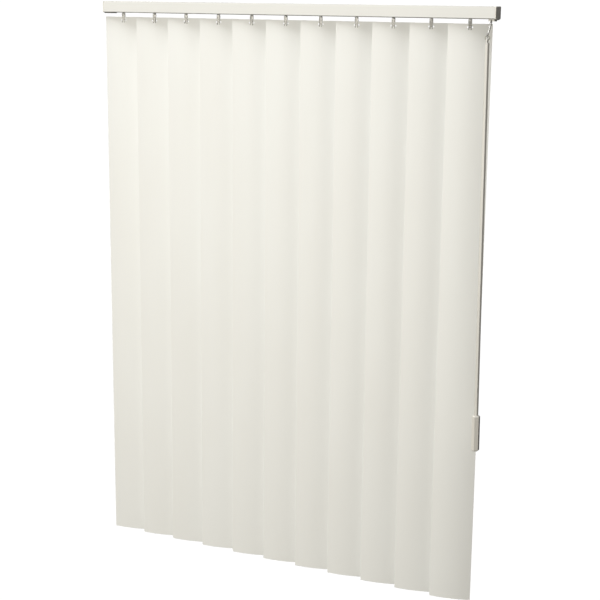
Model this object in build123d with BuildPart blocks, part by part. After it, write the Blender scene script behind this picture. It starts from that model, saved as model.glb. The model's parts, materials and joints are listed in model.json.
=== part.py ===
"""Vertical blind: an aluminium headrail with eleven curved vanes, turned and drawn by one wand.

Frame: millimetres.  The origin is the middle of the headrail's top face, where it is fixed.
+X runs along the headrail to the wand end, +Y goes to the back, to the window, and +Z is up.
The blind is shown drawn across and closed, each vane's left edge in front of its neighbour.
"""
from build123d import *
import os
from math import asin, ceil, cos, radians, sin

os.makedirs("parts", exist_ok=True)

# ---------------------------------------------------------------- driving dimensions (mm)
overall_width = 902.0        # headrail with both end caps
rail_depth = 28.0
rail_height = 24.0
rail_wall = 1.2
rail_corner = 1.5
rail_slot = 16.0             # open slot along the underside

cap_plate = 2.0
cap_rib = 1.0                # wall of the rib that plugs into the rail
cap_plug = 4.0               # how far the rib reaches in
cap_boss = 1.8               # bearing collar for the rod, beyond the plate
cap_boss_wall = 1.2
cap_tongue_left = 20.0       # lip that closes the slot at the stacking end
cap_tongue_right = 1.8
cap_tongue_drop = 1.6        # how far the lips stand below the rail

vane_count = 11
vane_width = 86.0            # straight across the curve
vane_bow = 4.3               # height of the curve
vane_thick = 0.8
vane_length = 1185.0
vane_pitch = 80.1            # spacing when drawn across
stack_pitch = 19.0           # spacing when drawn back
first_stem_inset = 45.0      # left end to the first stem
vane_top_gap = 9.0           # rail's underside to the vane's top edge
vane_slot_width = 12.0
vane_slot_height = 3.2
vane_corner = 1.5

worm_starts_per_turn = 7     # teeth on each stem's pinion: turns of the rod for one of the vane
wand_turns = 3               # whole turns of the wand from closed to closed the other way

rod_radius = 2.8
rod_flutes = 4
rod_flute_radius = 0.8
rod_y = -7.2
rod_height = 12.5            # above the rail's underside

worm_radius = 4.3
worm_length = 8.0
journal_radius = 3.7
carrier_length = 13.0
carrier_half_depth = 11.2
carrier_height = 18.6
carrier_corner = 1.5
keel_drop = 1.1              # guide that hangs into the slot
keel_gap = 0.4               # between the guide and each side of the slot
shoe_gap = 0.2               # between the running shoes and the rail's lips

pinion_height = 6.0
pinion_groove = 0.45
stem_radius = 2.3
stem_top_radius = 1.8
stem_top_length = 3.0
collar_radius = 3.6
collar_thick = 2.2
collar_gap = 0.6             # rail's underside to the collar
clip_width = 7.0
prong_width = 6.0
prong_thick = 1.1
front_prong_length = 12.5
back_prong_length = 9.0
clip_bridge = 0.5            # clip's solid head ends this far above the vane
clip_rib = 0.9               # stiffening rib down each side of the clip
clip_recess = 0.5            # depth of the web between the ribs, below their faces
clip_land = 0.8              # full thickness left at the clip's top
fork_width = 2.6             # notch that splits the front prong's tip
fork_height = 3.6
lug_width = 4.4
lug_height = 2.0
lug_below_top = 5.5          # vane's top edge to the lug

spacer_width = 3.2
spacer_corner = 1.0
spacer_thick = 0.8
spacer_overrun = 5.0
spacer_tail = 3.0
spacer_seat = 0.5            # post under each spacer

wand_lean = 0.6              # degrees, away from the last vane
hook_angle = 36.0            # degrees, hook shaft from upright, forwards
hook_cross_y = -4.5          # where its axis passes the rail's underside
hook_drop = 30.0             # rail's underside to the hook's eye
hook_radius = 1.9
hook_pinion_height = 5.0
hook_collar_radius = 3.2
hook_collar_thick = 1.5
hook_collar_down = 11.0
eye_radius = 3.6
eye_hole = 1.65
eye_thick = 1.2
snout_drop = 4.0             # wand carrier's nose below the rail
ring_radius = 4.6
ring_wire = 0.6
wand_corner_radius = 4.6     # hexagonal, over corners
wand_length = 790.0          # below its eye
wand_neck = 4.8              # eye to the start of the hexagon
wand_eye_radius = 3.4
wand_eye_thick = 2.4
grip_corner_radius = 8.2
grip_length = 75.0
grip_turn = 30.0             # degrees, its flats to the wand's flats
grip_chamfer = 2.6
grip_below = 22.0            # how far the grip passes the end of the wand

fit = 0.05                   # radial clearance of a shaft in its bearing
mesh_gap = 0.15              # worm to pinion
cavity_gap = 0.35            # around turning parts
wall_gap = 0.1               # plug in the rail, grip on the wand
clip_gap = 0.25              # vane between the prongs
end_gap = 0.5                # between parts that pass end to end

# ---------------------------------------------------------------- derived places
underside = -rail_height
half_width = overall_width / 2
rail_end = half_width - cap_plate
rail_inner_half = rail_depth / 2 - rail_wall
slot_half = rail_slot / 2
stem_x = [first_stem_inset - half_width + vane_pitch * i for i in range(vane_count)]

closed_angle = (180.0 - wand_turns * 360.0 / worm_starts_per_turn) / 2
vane_radius = (vane_width**2 / 4 + vane_bow**2) / (2 * vane_bow)
vane_half_angle = asin(vane_width / 2 / vane_radius)
vane_top = underside - vane_top_gap

rod_z = underside + rod_height
pinion_radius = -rod_y - worm_radius - mesh_gap
carrier_bottom = underside + rail_wall + shoe_gap
carrier_top = carrier_bottom + carrier_height
keel_half = slot_half - keel_gap
spacer_bottom = carrier_top + spacer_seat + wall_gap
spacer_lanes = ceil((vane_pitch + spacer_overrun + spacer_tail) / stack_pitch)
lane_pitch = (2 * (carrier_half_depth - carrier_corner) - spacer_width) / (spacer_lanes - 1)
lug_top = vane_top - lug_below_top
prong_inner = vane_thick / 2 + clip_gap
prong_outer = prong_inner + prong_thick

# the wand's hook shaft leans forwards: unit vectors in the YZ plane
hook_down = (-sin(radians(hook_angle)), -cos(radians(hook_angle)))
hook_back = (cos(radians(hook_angle)), -sin(radians(hook_angle)))
rod_from_cross = (rod_y - hook_cross_y, rod_height)
hook_pinion_up = -(rod_from_cross[0] * hook_down[0] + rod_from_cross[1] * hook_down[1])
rod_to_hook = -(rod_from_cross[0] * hook_back[0] + rod_from_cross[1] * hook_back[1])
hook_pinion_radius = rod_to_hook - worm_radius - mesh_gap
hook_length = hook_drop / cos(radians(hook_angle))
wand_carrier_half = hook_pinion_radius + cavity_gap + 1.0
wand_x = rail_end - cap_boss - end_gap - wand_carrier_half
eye = Vector(
    wand_x,
    hook_cross_y + hook_length * hook_down[0],
    underside + hook_length * hook_down[1],
)
wand_down = Vector(sin(radians(wand_lean)), 0, -cos(radians(wand_lean)))
wand_across = Vector(cos(radians(wand_lean)), 0, sin(radians(wand_lean)))
wand_eye = eye + wand_down * (2 * ring_radius)


def hook_plane(down):
    """A plane across the hook shaft, this far below where it passes the rail's underside."""
    y = hook_cross_y + down * hook_down[0]
    z = underside + down * hook_down[1]
    return Plane(origin=(wand_x, y, z), x_dir=(1, 0, 0), z_dir=(0, hook_down[0], hook_down[1]))


def wand_plane(down):
    """A plane across the wand, this far below the hole at its top, facing down."""
    return Plane(origin=wand_eye + wand_down * down, x_dir=wand_across, z_dir=wand_down)


def vane_plane(x, z):
    """A level plane at a stem, turned with the closed vane."""
    turn = radians(closed_angle)
    return Plane(origin=(x, 0, z), x_dir=(cos(turn), sin(turn), 0), z_dir=(0, 0, 1))


def vane_face_plane(x, z):
    """The upright plane of a closed vane at its stem, facing the back."""
    turn = radians(closed_angle)
    return Plane(
        origin=(x, 0, z), x_dir=(cos(turn), sin(turn), 0), z_dir=(sin(turn), -cos(turn), 0)
    )


def write(part, name):
    """Label a finished piece and write its STEP file."""
    part.label = name
    export_step(part, f"parts/{name}.step")


# ---------------------------------------------------------------- headrail
with BuildPart() as headrail:
    with BuildSketch(Plane.YZ.offset(-rail_end)):
        with Locations((0, -rail_height / 2)):
            RectangleRounded(rail_depth, rail_height, rail_corner)
            Rectangle(2 * rail_inner_half, rail_height - 2 * rail_wall, mode=Mode.SUBTRACT)
        with Locations((0, underside)):
            Rectangle(rail_slot, 4 * rail_wall, mode=Mode.SUBTRACT)
    extrude(amount=2 * rail_end)
write(headrail.part, "headrail")

# ---------------------------------------------------------------- end caps
for name, side, tongue in (
    ("end_cap_left", -1, cap_tongue_left),
    ("end_cap_right", 1, cap_tongue_right),
):
    plug_half = rail_inner_half - wall_gap
    plug_height = rail_height - 2 * (rail_wall + wall_gap)
    inward = -side
    with BuildPart() as end_cap:
        with BuildSketch(Plane.YZ.offset(side * rail_end)):
            with Locations((0, -rail_height / 2)):
                RectangleRounded(rail_depth, rail_height, rail_corner)
        extrude(amount=side * cap_plate)
        fillet(end_cap.faces().sort_by(Axis.X)[0 if side < 0 else -1].edges(), 0.6)
        with BuildSketch(Plane.YZ.offset(side * rail_end)):
            with Locations((0, -rail_height / 2)):
                Rectangle(2 * plug_half, plug_height)
            with Locations((0, -rail_height / 2 - cap_rib)):
                Rectangle(2 * (plug_half - cap_rib), plug_height, mode=Mode.SUBTRACT)
        extrude(amount=inward * cap_plug)
        with BuildSketch(Plane.YZ.offset(side * rail_end)):
            with Locations((rod_y, rod_z)):
                Circle(rod_radius + fit + cap_boss_wall)
        extrude(amount=inward * cap_boss)
        with BuildSketch(Plane.YZ.offset(side * (rail_end + cap_plate / 2))):
            with Locations((rod_y, rod_z)):
                Circle(rod_radius + fit)
        extrude(amount=inward * (cap_plate / 2 + cap_boss), mode=Mode.SUBTRACT)
        with BuildSketch(Plane.YZ.offset(side * (rail_end + cap_plate))):
            with Locations((0, underside + (rail_wall - cap_tongue_drop) / 2)):
                Rectangle(2 * keel_half, rail_wall + cap_tongue_drop)
        extrude(amount=inward * (cap_plate + tongue))
    write(end_cap.part, name)

# ---------------------------------------------------------------- tilt rod
rod_half_length = rail_end + cap_plate / 2 - end_gap / 2
with BuildPart() as tilt_rod:
    with BuildSketch(Plane.YZ.offset(-rod_half_length)):
        with Locations((rod_y, rod_z)):
            Circle(rod_radius)
            with PolarLocations(rod_radius, rod_flutes):
                Circle(rod_flute_radius, mode=Mode.SUBTRACT)
    extrude(amount=2 * rod_half_length)
write(tilt_rod.part, "tilt_rod")


def build_worm(x, length, name):
    """The sleeve that turns with the rod and slides along it, centred at x."""
    with BuildPart() as worm:
        with BuildSketch(Plane.YZ.offset(x - worm_length / 2)):
            with Locations((rod_y, rod_z)):
                Circle(worm_radius)
        extrude(amount=worm_length)
        with BuildSketch(Plane.YZ.offset(x - length / 2)):
            with Locations((rod_y, rod_z)):
                Circle(journal_radius)
        extrude(amount=length)
        with BuildSketch(Plane.YZ.offset(x - length / 2)):
            with Locations((rod_y, rod_z)):
                Circle(rod_radius + 2 * fit)
                with PolarLocations(rod_radius, rod_flutes):
                    Circle(rod_flute_radius - 2 * fit, mode=Mode.SUBTRACT)
        extrude(amount=length, mode=Mode.SUBTRACT)
    write(worm.part, name)


def build_stem(x, name):
    """Pinion, shaft, collar and the forked clip that holds a vane, all one moulding."""
    pinion_bottom = rod_z - pinion_height / 2
    clip_top = underside - collar_gap - collar_thick
    clip_head = clip_top - (vane_top + clip_bridge)
    with BuildPart() as stem:
        with BuildSketch(vane_plane(x, pinion_bottom)):
            Circle(pinion_radius)
            with PolarLocations(pinion_radius, worm_starts_per_turn):
                Circle(pinion_groove, mode=Mode.SUBTRACT)
        extrude(amount=pinion_height)
        with BuildSketch(Plane.XY.offset(pinion_bottom + pinion_height)):
            with Locations((x, 0)):
                Circle(stem_top_radius)
        extrude(amount=stem_top_length)
        with BuildSketch(Plane.XY.offset(clip_top)):
            with Locations((x, 0)):
                Circle(stem_radius)
        extrude(amount=pinion_bottom - clip_top)
        with BuildSketch(Plane.XY.offset(clip_top)):
            with Locations((x, 0)):
                Circle(collar_radius)
        extrude(amount=collar_thick)
        with BuildSketch(vane_plane(x, clip_top)):
            Rectangle(clip_width, 2 * prong_outer)
        extrude(amount=-clip_head)
        for y, length in (
            (-(prong_inner + prong_outer) / 2, front_prong_length),
            ((prong_inner + prong_outer) / 2, back_prong_length),
        ):
            with BuildSketch(vane_plane(x, vane_top + clip_bridge)):
                with Locations((0, y)):
                    Rectangle(prong_width, prong_thick)
            extrude(amount=-length)
        with BuildSketch(vane_plane(x, lug_top)):
            with Locations((0, -prong_outer / 2)):
                Rectangle(lug_width, prong_outer)
        extrude(amount=-lug_height)
        with BuildSketch(vane_plane(x, lug_top)):
            with Locations((0, (prong_inner - clip_gap) / 2)):
                Rectangle(lug_width, prong_inner - clip_gap)
        extrude(amount=-lug_height)
        for side in (-1, 1):
            with BuildSketch(vane_plane(x, clip_top - clip_land)):
                with Locations((0, side * (prong_outer - clip_recess / 2))):
                    Rectangle(prong_width - 2 * clip_rib, clip_recess)
            extrude(amount=-(clip_head + front_prong_length), mode=Mode.SUBTRACT)
        with BuildSketch(vane_plane(x, vane_top + clip_bridge - front_prong_length)):
            with Locations((0, -(prong_inner + prong_outer) / 2)):
                Rectangle(fork_width, prong_thick)
        extrude(amount=fork_height, mode=Mode.SUBTRACT)
    write(stem.part, name)


def build_vane(x, name):
    """A bowed strip with a slot near its top edge for the clip's lug."""
    outer = vane_radius + vane_thick / 2
    inner = vane_radius - vane_thick / 2
    side = sin(vane_half_angle)
    rise = cos(vane_half_angle)
    with BuildPart() as vane:
        with BuildSketch(vane_plane(x, vane_top)):
            with BuildLine():
                front = ThreePointArc(
                    (-outer * side, vane_radius - outer * rise),
                    (0, vane_radius - outer),
                    (outer * side, vane_radius - outer * rise),
                )
                back = ThreePointArc(
                    (-inner * side, vane_radius - inner * rise),
                    (0, vane_radius - inner),
                    (inner * side, vane_radius - inner * rise),
                )
                Line(front @ 0, back @ 0)
                Line(front @ 1, back @ 1)
            make_face()
        extrude(amount=-vane_length)
        fillet(vane.edges().filter_by(Axis.Z, reverse=True).filter_by(short_edge), vane_corner)
        with BuildSketch(vane_face_plane(x, lug_top + clip_gap - vane_slot_height / 2)):
            SlotOverall(vane_slot_width, vane_slot_height)
        extrude(amount=vane_bow, both=True, mode=Mode.SUBTRACT)
    write(vane.part, name)


def short_edge(edge):
    """True for the edges across a vane's thickness at its corners."""
    return edge.length < 2 * vane_thick


def lane_y(index):
    """Where a carrier's spacer runs across the rail, clear of the next few when stacked."""
    return (index % spacer_lanes - (spacer_lanes - 1) / 2) * lane_pitch


def build_carrier(index, name):
    """The housing that runs in the rail, and the spacer that reaches to the next carrier."""
    x = stem_x[index]
    next_x = stem_x[index + 1] if index < vane_count - 1 else wand_x
    reach = next_x - x + spacer_overrun
    pinion_bottom = rod_z - pinion_height / 2
    with BuildPart() as carrier:
        with BuildSketch(Plane.XY.offset(carrier_bottom)):
            with Locations((x, 0)):
                RectangleRounded(carrier_length, 2 * carrier_half_depth, carrier_corner)
        extrude(amount=carrier_height)
        with BuildSketch(Plane.XY.offset(carrier_bottom)):
            with Locations((x, 0)):
                RectangleRounded(carrier_length, 2 * keel_half, carrier_corner)
        extrude(amount=-keel_drop)
        with BuildSketch(Plane.YZ.offset(x - worm_length / 2 - cavity_gap)):
            with Locations((rod_y, rod_z)):
                Circle(worm_radius + cavity_gap)
        extrude(amount=worm_length + 2 * cavity_gap, mode=Mode.SUBTRACT)
        with BuildSketch(Plane.YZ.offset(x - carrier_length)):
            with Locations((rod_y, rod_z)):
                Circle(journal_radius + fit)
        extrude(amount=2 * carrier_length, mode=Mode.SUBTRACT)
        with BuildSketch(Plane.XY.offset(pinion_bottom - cavity_gap)):
            with Locations((x, 0)):
                Circle(pinion_radius + cavity_gap)
        extrude(amount=pinion_height + 2 * cavity_gap, mode=Mode.SUBTRACT)
        with BuildSketch(Plane.XY.offset(pinion_bottom)):
            with Locations((x, 0)):
                Circle(stem_top_radius + fit)
        extrude(amount=pinion_height + stem_top_length + cavity_gap, mode=Mode.SUBTRACT)
        with BuildSketch(Plane.XY.offset(underside)):
            with Locations((x, 0)):
                Circle(stem_radius + fit)
        extrude(amount=rod_height, mode=Mode.SUBTRACT)
        with BuildSketch(Plane.XY.offset(carrier_top)):
            with Locations((x, lane_y(index))):
                Rectangle(spacer_width, spacer_width - 2 * wall_gap)
        extrude(amount=spacer_seat)
        with BuildSketch(Plane.XY.offset(spacer_bottom)):
            with Locations((x + (reach - spacer_tail) / 2, lane_y(index))):
                RectangleRounded(reach + spacer_tail, spacer_width, spacer_corner)
        extrude(amount=spacer_thick)
    write(carrier.part, name)


for index, x in enumerate(stem_x):
    number = f"{index + 1:02d}"
    build_carrier(index, f"carrier_{number}")
    build_worm(x, carrier_length - 2 * wall_gap, f"worm_{number}")
    build_stem(x, f"stem_{number}")
    build_vane(x, f"vane_{number}")

# ---------------------------------------------------------------- wand carrier and its gears
with BuildPart() as wand_carrier:
    with BuildSketch(Plane.XY.offset(carrier_bottom)):
        with Locations((wand_x, 0)):
            RectangleRounded(2 * wand_carrier_half, 2 * carrier_half_depth, carrier_corner)
    extrude(amount=carrier_height)
    with BuildSketch(Plane.XY.offset(carrier_bottom)):
        with Locations((wand_x, 0)):
            RectangleRounded(2 * wand_carrier_half, 2 * keel_half, carrier_corner)
    extrude(amount=-(carrier_bottom - underside + snout_drop))
    with BuildSketch(Plane.YZ.offset(wand_x - worm_length / 2 - cavity_gap)):
        with Locations((rod_y, rod_z)):
            Circle(worm_radius + cavity_gap)
    extrude(amount=worm_length + 2 * cavity_gap, mode=Mode.SUBTRACT)
    with BuildSketch(Plane.YZ.offset(wand_x - 2 * wand_carrier_half)):
        with Locations((rod_y, rod_z)):
            Circle(journal_radius + fit)
    extrude(amount=4 * wand_carrier_half, mode=Mode.SUBTRACT)
    with BuildSketch(hook_plane(-hook_pinion_up)):
        Circle(hook_pinion_radius + cavity_gap)
    extrude(amount=hook_pinion_height / 2 + cavity_gap, both=True, mode=Mode.SUBTRACT)
    with BuildSketch(hook_plane(-hook_pinion_up)):
        Circle(hook_radius + fit)
    extrude(amount=hook_length, mode=Mode.SUBTRACT)
    with BuildSketch(Plane.XY.offset(carrier_top)):
        with Locations((wand_x, lane_y(vane_count - 1))):
            Rectangle(spacer_width, spacer_width - 2 * wall_gap)
    extrude(amount=spacer_seat)
write(wand_carrier.part, "wand_carrier")

build_worm(wand_x, 2 * (wand_carrier_half - wall_gap), "wand_drive_gear")

with BuildPart() as wand_hook_shaft:
    with BuildSketch(hook_plane(-hook_pinion_up)):
        Circle(hook_pinion_radius)
        with PolarLocations(hook_pinion_radius, 2 * worm_starts_per_turn):
            Circle(pinion_groove, mode=Mode.SUBTRACT)
    extrude(amount=hook_pinion_height / 2, both=True)
    with BuildSketch(hook_plane(-hook_pinion_up)):
        Circle(hook_radius)
    extrude(amount=hook_pinion_up + hook_length - (eye_radius + eye_hole) / 2)
    with BuildSketch(hook_plane(hook_collar_down)):
        Circle(hook_collar_radius)
    extrude(amount=hook_collar_thick)
    with BuildSketch(Plane.YZ.offset(wand_x)):
        with Locations((eye.Y, eye.Z)):
            Circle(eye_radius)
    extrude(amount=eye_thick / 2, both=True)
    with BuildSketch(Plane.YZ.offset(wand_x)):
        with Locations((eye.Y, eye.Z)):
            Circle(eye_hole)
    extrude(amount=2 * hook_radius, both=True, mode=Mode.SUBTRACT)
write(wand_hook_shaft.part, "wand_hook_shaft")

# ---------------------------------------------------------------- ring, wand and grip
ring_centre = eye + wand_down * ring_radius
with BuildPart() as wand_ring:
    with BuildSketch(Plane(origin=ring_centre, x_dir=wand_across, z_dir=wand_down)):
        with Locations((ring_radius, 0)):
            Circle(ring_wire)
    revolve(axis=Axis(ring_centre, (0, 1, 0)), revolution_arc=360)
write(wand_ring.part, "wand_ring")

with BuildPart() as wand:
    with BuildSketch(wand_plane(wand_neck)):
        RegularPolygon(wand_corner_radius, 6)
    extrude(amount=wand_length - wand_neck)
    with BuildSketch(Plane(origin=wand_eye, x_dir=(0, 1, 0), z_dir=wand_across)):
        Circle(wand_eye_radius)
        with Locations((0, -wand_neck / 2)):
            Rectangle(2 * wand_eye_radius, wand_neck)
    extrude(amount=wand_eye_thick / 2, both=True)
    with BuildSketch(Plane(origin=wand_eye, x_dir=(0, 1, 0), z_dir=wand_across)):
        Circle(eye_hole)
    extrude(amount=wand_eye_thick, both=True, mode=Mode.SUBTRACT)
write(wand.part, "wand")

grip_top = wand_length + grip_below - grip_length
with BuildPart() as wand_grip:
    with BuildSketch(wand_plane(grip_top)):
        RegularPolygon(grip_corner_radius, 6, rotation=grip_turn)
    extrude(amount=grip_length)
    ends = wand_grip.faces().sort_by(Axis.Z)
    chamfer(ends[0].edges() + ends[-1].edges(), grip_chamfer)
    with BuildSketch(wand_plane(grip_top)):
        RegularPolygon(wand_corner_radius + wall_gap, 6)
    extrude(amount=grip_length - grip_below + wall_gap, mode=Mode.SUBTRACT)
write(wand_grip.part, "wand_grip")
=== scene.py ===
"""Looks of the vertical blind: materials, softened edges, studio light and camera.

Everything is in metres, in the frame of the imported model: origin in the middle of the
headrail's top face, +X along the rail to the wand, +Y to the back, +Z up.
"""
import json
from math import cos, radians, sin

import bpy
from mathutils import Matrix, Vector


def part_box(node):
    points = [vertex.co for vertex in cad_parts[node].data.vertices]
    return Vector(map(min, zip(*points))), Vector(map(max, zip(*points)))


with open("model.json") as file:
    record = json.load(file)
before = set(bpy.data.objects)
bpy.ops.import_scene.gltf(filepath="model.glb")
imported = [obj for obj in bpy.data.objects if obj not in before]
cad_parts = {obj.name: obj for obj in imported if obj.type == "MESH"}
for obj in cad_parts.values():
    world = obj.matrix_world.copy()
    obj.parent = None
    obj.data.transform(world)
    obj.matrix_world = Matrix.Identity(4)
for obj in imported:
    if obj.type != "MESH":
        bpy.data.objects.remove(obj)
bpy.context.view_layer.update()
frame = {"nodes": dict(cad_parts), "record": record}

nodes = frame["nodes"]

# ---------------------------------------------------------------- driving values
CAMERA_PLACE = Vector((1.3394, -2.5105, 0.0158))
CAMERA_YAW = 27.47           # degrees, turned to the left of straight on
CAMERA_PITCH = 12.58         # degrees, looking down
CAMERA_ROLL = 0.61           # degrees
FOCAL_PIXELS = 1363.6
PICTURE_PIXELS = 600.0
SENSOR = 36.0                # mm

FLOOR_BELOW = 2.1            # rail's top to the floor
FLOOR_HALF = 60.0
SHOWN_WHITE = 1.05           # what the camera sees of the floor and the surroundings
FILL_COLOUR = (1.0, 0.975, 0.93)
FILL = 0.21                  # what the surroundings light the object with

# square softboxes: place, target, side in metres, power in watts, colour
LIGHTS = {
    "key": ((-0.3, -0.9, 2.25), (-0.05, 0.0, -0.3), 1.2, 62.0, (1.0, 1.0, 1.0)),
    "front": ((-0.4, -3.0, -0.5), (0.0, 0.0, -0.6), 1.8, 67.5, (1.0, 0.95, 0.85)),
    "back": ((0.0, 2.8, 0.8), (0.0, 0.0, -0.5), 1.6, 34.0, (1.0, 0.985, 0.96)),
}

RAIL_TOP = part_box("headrail")[1][2]
RAIL_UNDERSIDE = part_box("headrail")[0][2]
LOWER_SHADE_BAND = 0.0019          # height of the painted shade on the rounding along the rail's underside
UPPER_SHADE_BAND = 0.0012          # height of the painted shade that dulls the rounding along its top
BAND_FADE = 0.0008           # over which each painted shade band passes into the face
LIP_SHADE_FADE = 0.0003            # and the painted shade below the rail into a cap

WELD_REACH = 0.000002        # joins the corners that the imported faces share
BEVEL_ANGLE = 35             # degrees: sharper edges than this are rounded

COLOUR_A, COLOUR_B, COLOUR_RESULT = 6, 7, 2   # a Mix node's sockets when it mixes colours


# ---------------------------------------------------------------- material helpers
class Shader:
    """A Principled material with helpers that add procedural detail to it."""

    def __init__(self, name, colour, roughness, **inputs):
        self.material = bpy.data.materials.new(name)
        self.material.use_nodes = True
        self.material.diffuse_color = (*colour, 1.0)
        self.tree = self.material.node_tree
        self.tree.nodes.clear()
        self.out = self.node("ShaderNodeOutputMaterial")
        self.bsdf = self.node("ShaderNodeBsdfPrincipled")
        self.tree.links.new(self.bsdf.outputs["BSDF"], self.out.inputs["Surface"])
        self.bsdf.inputs["Base Color"].default_value = (*colour, 1.0)
        self.bsdf.inputs["Roughness"].default_value = roughness
        for key, value in inputs.items():
            self.bsdf.inputs[key.replace("_", " ")].default_value = value
        self.colour = colour
        self.roughness = roughness
        self.place = self.node("ShaderNodeTexCoord")
        self.bump = None

    def node(self, kind):
        """A new node of this kind."""
        return self.tree.nodes.new(kind)

    def noise(self, scale, detail=3.0, roughness=0.5, stretch=(1.0, 1.0, 1.0)):
        """A noise field, in features per metre, stretched by the given factors."""
        mapping = self.node("ShaderNodeMapping")
        mapping.inputs["Scale"].default_value = stretch
        self.tree.links.new(self.place.outputs["Object"], mapping.inputs["Vector"])
        texture = self.node("ShaderNodeTexNoise")
        texture.inputs["Scale"].default_value = scale
        texture.inputs["Detail"].default_value = detail
        texture.inputs["Roughness"].default_value = roughness
        self.tree.links.new(mapping.outputs["Vector"], texture.inputs["Vector"])
        return texture.outputs["Fac"]

    def ramp(self, field, low, high, from_low=0.3, from_high=0.7):
        """Maps a field to the range low to high."""
        node = self.node("ShaderNodeMapRange")
        node.inputs["From Min"].default_value = from_low
        node.inputs["From Max"].default_value = from_high
        node.inputs["To Min"].default_value = low
        node.inputs["To Max"].default_value = high
        self.tree.links.new(field, node.inputs["Value"])
        return node.outputs["Result"]

    def tint(self, field, darker, warmer=0.0):
        """Varies the colour with a field: darker by this share at its low end."""
        low = tuple(c * (1 - darker) * (1 - warmer * i / 2) for i, c in enumerate(self.colour))
        ramp = self.node("ShaderNodeValToRGB")
        ramp.color_ramp.elements[0].position = 0.3
        ramp.color_ramp.elements[0].color = (*low, 1.0)
        ramp.color_ramp.elements[1].position = 0.7
        ramp.color_ramp.elements[1].color = (*self.colour, 1.0)
        self.tree.links.new(field, ramp.inputs["Fac"])
        self.tree.links.new(ramp.outputs["Color"], self.bsdf.inputs["Base Color"])

    def shade_past(self, clear, full, colour):
        """Paints shade in another colour by height: none of it at the first height, all at the
        second.
        """
        parts = self.node("ShaderNodeSeparateXYZ")
        self.tree.links.new(self.place.outputs["Object"], parts.inputs["Vector"])
        shade_mask = self.ramp(parts.outputs["Z"], 1.0, 0.0, full, clear)
        mix = self.node("ShaderNodeMix")
        mix.data_type = "RGBA"
        base = self.bsdf.inputs["Base Color"]
        self.tree.links.new(shade_mask, mix.inputs["Factor"])
        self.tree.links.new(base.links[0].from_socket, mix.inputs[COLOUR_A])
        mix.inputs[COLOUR_B].default_value = (*colour, 1.0)
        self.tree.links.new(mix.outputs[COLOUR_RESULT], base)

    def rough(self, field, spread):
        """Varies the roughness about its middle value."""
        value = self.ramp(field, self.roughness - spread, self.roughness + spread)
        self.tree.links.new(value, self.bsdf.inputs["Roughness"])

    def relief(self, field, height, strength=1.0):
        """Adds a bump of this height, in metres, over the ones before it."""
        bump = self.node("ShaderNodeBump")
        bump.inputs["Distance"].default_value = height
        bump.inputs["Strength"].default_value = strength
        self.tree.links.new(field, bump.inputs["Height"])
        if self.bump is not None:
            self.tree.links.new(self.bump.outputs["Normal"], bump.inputs["Normal"])
        self.tree.links.new(bump.outputs["Normal"], self.bsdf.inputs["Normal"])
        self.bump = bump


def vane_vinyl():
    """Extruded vinyl: a fine leathery grain, faint lengthwise draw lines, satin."""
    shader = Shader("vane_vinyl", (0.833, 0.85, 0.842), 0.5, Specular_IOR_Level=0.42)
    mottle = shader.noise(9.0, detail=4.0, stretch=(1.0, 1.0, 0.35))
    grain = shader.noise(1300.0, detail=3.0, roughness=0.6)
    streaks = shader.noise(420.0, detail=2.0, stretch=(1.0, 1.0, 0.012))
    shader.tint(mottle, darker=0.018, warmer=0.012)
    shader.rough(grain, 0.06)
    shader.relief(grain, 0.00005, strength=0.5)
    shader.relief(streaks, 0.00004, strength=0.35)
    return shader.material


def rail_enamel():
    """Baked enamel over an extrusion: faint die lines along the rail, light orange peel, and
    painted shade along its lower and upper rounded edges.
    """
    shader = Shader("rail_enamel", (0.768, 0.775, 0.757), 0.46, Specular_IOR_Level=0.22)
    lines = shader.noise(900.0, detail=2.0, stretch=(0.004, 1.0, 1.0))
    peel = shader.noise(520.0, detail=2.0)
    mottle = shader.noise(6.0, detail=3.0)
    shader.tint(mottle, darker=0.02)
    shade_below = RAIL_UNDERSIDE + LOWER_SHADE_BAND
    shade_above = RAIL_TOP - UPPER_SHADE_BAND
    # painted shade: a dark band on the rail's lower rounding, where the edge turns from the
    # light
    shader.shade_past(shade_below, shade_below - BAND_FADE, (0.16, 0.155, 0.14))
    # painted shade: a duller band over the rail's top rounding and top face
    shader.shade_past(shade_above, shade_above + BAND_FADE, (0.58, 0.58, 0.56))
    shader.rough(peel, 0.05)
    shader.relief(lines, 0.00003, strength=0.4)
    shader.relief(peel, 0.00002, strength=0.3)
    return shader.material


def moulded(name, colour, roughness, lip_shade=None, **inputs):
    """Moulded plastic: a fine texture, slight flow marks, and painted shade on its tongue below
    the rail if it has one.
    """
    shader = Shader(name, colour, roughness, **inputs)
    flow = shader.noise(70.0, detail=3.0)
    fine = shader.noise(1500.0, detail=2.0)
    shader.tint(flow, darker=0.03)
    if lip_shade:
        # painted shade: the part below the rail's underside is coloured dark
        shader.shade_past(RAIL_UNDERSIDE, RAIL_UNDERSIDE - LIP_SHADE_FADE, lip_shade)
    shader.rough(fine, 0.06)
    shader.relief(fine, 0.00004, strength=0.4)
    return shader.material


def drawn_metal(name, colour, roughness, stretch):
    """Bright metal with draw lines along its length."""
    shader = Shader(name, colour, roughness, Metallic=1.0)
    lines = shader.noise(1600.0, detail=2.0, stretch=stretch)
    shader.tint(lines, darker=0.12)
    shader.rough(lines, 0.08)
    shader.relief(lines, 0.00002, strength=0.4)
    return shader.material


def wand_plastic():
    """Extruded styrene: glossy, with faint lines along the wand."""
    shader = Shader("wand_plastic", (0.66, 0.655, 0.62), 0.34, Specular_IOR_Level=0.4)
    lines = shader.noise(1200.0, detail=2.0, stretch=(1.0, 1.0, 0.01))
    flow = shader.noise(40.0, detail=2.0, stretch=(1.0, 1.0, 0.3))
    shader.tint(flow, darker=0.03)
    shader.rough(lines, 0.05)
    shader.relief(lines, 0.00003, strength=0.4)
    return shader.material


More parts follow.
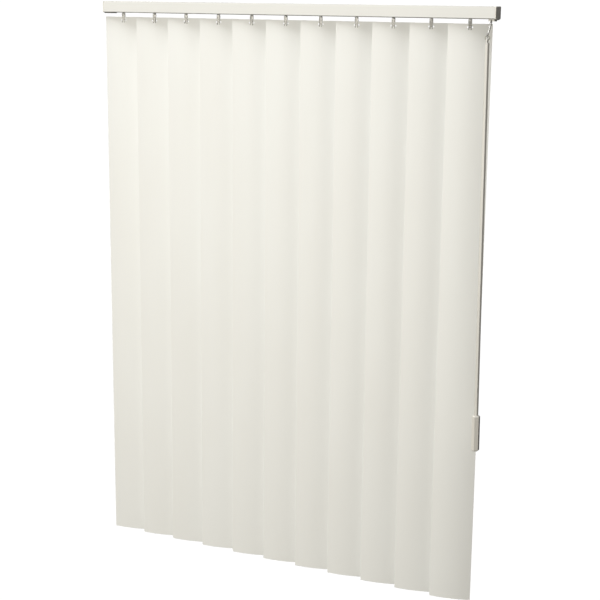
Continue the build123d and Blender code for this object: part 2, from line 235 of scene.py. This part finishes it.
def floor_white():
    """A plain pale floor, which shows as white as the surroundings and lights nothing."""
    shader = Shader("floor_white", (0.10, 0.10, 0.10), 0.9, Specular_IOR_Level=0.0)
    glow = shader.node("ShaderNodeEmission")
    glow.inputs["Strength"].default_value = SHOWN_WHITE
    path = shader.node("ShaderNodeLightPath")
    mix = shader.node("ShaderNodeMixShader")
    shader.tree.links.new(path.outputs["Is Camera Ray"], mix.inputs["Fac"])
    shader.tree.links.new(shader.bsdf.outputs["BSDF"], mix.inputs[1])
    shader.tree.links.new(glow.outputs["Emission"], mix.inputs[2])
    shader.tree.links.new(mix.outputs["Shader"], shader.out.inputs["Surface"])
    return shader.material


CLEAR = {"Transmission_Weight": 0.6, "IOR": 1.49}   # clear grey plastic
FINISHES = {
    "rail_enamel": rail_enamel(),
    # the cap's tongue below the rail gets painted shade
    "cap_plastic": moulded("cap_plastic", (0.74, 0.73, 0.67), 0.42, lip_shade=(0.10, 0.10, 0.09)),
    "rod_aluminium": drawn_metal("rod_aluminium", (0.72, 0.73, 0.75), 0.3, (0.01, 1.0, 1.0)),
    "carrier_plastic": moulded("carrier_plastic", (0.76, 0.76, 0.73), 0.4),
    "gear_plastic": moulded("gear_plastic", (0.70, 0.70, 0.67), 0.38),
    "stem_plastic": moulded("stem_plastic", (0.74, 0.74, 0.72), 0.12, **CLEAR),
    "vane_vinyl": vane_vinyl(),
    "ring_steel": drawn_metal("ring_steel", (0.30, 0.295, 0.26), 0.3, (1.0, 1.0, 1.0)),
    "wand_plastic": wand_plastic(),
    "grip_plastic": moulded("grip_plastic", (0.70, 0.69, 0.65), 0.34),
}


# ---------------------------------------------------------------- finish of the CAD nodes
SOFT_EDGES = {               # edge radius of each slot's pieces, in metres
    "rail_enamel": 0.0003,
    "cap_plastic": 0.0003,
    "carrier_plastic": 0.0003,
    "stem_plastic": 0.0002,
    "wand_plastic": 0.0007,
    "grip_plastic": 0.0009,
}


def soften(piece, radius):
    """Rounds a piece's sharp edges as its mould or die does, once its faces are joined."""
    weld = piece.modifiers.new("joined_corners", "WELD")
    weld.merge_threshold = WELD_REACH
    bevel = piece.modifiers.new("soft_edges", "BEVEL")
    bevel.width = radius
    bevel.segments = 3
    bevel.limit_method = "ANGLE"
    bevel.angle_limit = radians(BEVEL_ANGLE)
    bevel.use_clamp_overlap = True
    bevel.harden_normals = False


def dress(piece, finish):
    """Gives a CAD node its material and its softened edges."""
    piece.data.materials.clear()
    piece.data.materials.append(FINISHES[finish])
    if finish in SOFT_EDGES:
        soften(piece, SOFT_EDGES[finish])


for subpart in frame["record"]["subparts"]:
    dress(nodes[subpart["node"]], subpart["material_slot"])


# ---------------------------------------------------------------- stage, light and camera
def add_floor():
    """The floor of the room that the blind hangs in."""
    low = -FLOOR_BELOW
    quarters = ((-1, -1), (1, -1), (1, 1), (-1, 1))
    corners = [(x * FLOOR_HALF, y * FLOOR_HALF, low) for x, y in quarters]
    mesh = bpy.data.meshes.new("studio_floor")
    mesh.from_pydata(corners, [], [(0, 1, 2, 3)])
    floor = bpy.data.objects.new("studio_floor", mesh)
    floor.data.materials.append(floor_white())
    bpy.context.scene.collection.objects.link(floor)


def add_softbox(name, place, target, size, power, colour):
    """A square area light that faces a point."""
    light = bpy.data.lights.new(name, "AREA")
    light.shape = "SQUARE"
    light.size = size
    light.energy = power
    light.color = colour
    holder = bpy.data.objects.new(name, light)
    aim = Vector(target) - Vector(place)
    turn = aim.to_track_quat("-Z", "Y").to_matrix().to_4x4()
    holder.matrix_world = Matrix.Translation(place) @ turn
    bpy.context.scene.collection.objects.link(holder)


def add_world():
    """White surroundings, which light the object more weakly than they show."""
    world = bpy.data.worlds.new("studio")
    world.use_nodes = True
    tree = world.node_tree
    tree.nodes.clear()
    out = tree.nodes.new("ShaderNodeOutputWorld")
    shown = tree.nodes.new("ShaderNodeBackground")
    shown.inputs["Strength"].default_value = SHOWN_WHITE
    fill = tree.nodes.new("ShaderNodeBackground")
    fill.inputs["Color"].default_value = (*FILL_COLOUR, 1.0)
    fill.inputs["Strength"].default_value = FILL
    shown.inputs["Color"].default_value = (1.0, 1.0, 1.0, 1.0)
    path = tree.nodes.new("ShaderNodeLightPath")
    mix = tree.nodes.new("ShaderNodeMixShader")
    tree.links.new(path.outputs["Is Camera Ray"], mix.inputs["Fac"])
    tree.links.new(fill.outputs["Background"], mix.inputs[1])
    tree.links.new(shown.outputs["Background"], mix.inputs[2])
    tree.links.new(mix.outputs["Shader"], out.inputs["Surface"])
    bpy.context.scene.world = world


def add_camera():
    """The camera, from its place and its three turns."""
    yaw = radians(CAMERA_YAW)
    pitch = radians(CAMERA_PITCH)
    roll = radians(CAMERA_ROLL)
    ahead = Vector((-sin(yaw) * cos(pitch), cos(yaw) * cos(pitch), -sin(pitch)))
    level = Vector((cos(yaw), sin(yaw), 0.0))
    upright = level.cross(ahead)
    right = level * cos(roll) + upright * sin(roll)
    up = upright * cos(roll) - level * sin(roll)
    lens = bpy.data.cameras.new("camera")
    lens.sensor_width = SENSOR
    lens.lens = FOCAL_PIXELS / PICTURE_PIXELS * SENSOR
    lens.clip_start = 0.05
    lens.clip_end = 200.0
    camera = bpy.data.objects.new("camera", lens)
    turn = Matrix((right, up, -ahead)).transposed().to_4x4()
    camera.matrix_world = Matrix.Translation(CAMERA_PLACE) @ turn
    bpy.context.scene.collection.objects.link(camera)
    bpy.context.scene.camera = camera


add_floor()
add_world()
for name, setting in LIGHTS.items():
    add_softbox(name, *setting)
add_camera()
bpy.context.scene.view_settings.view_transform = "Standard"
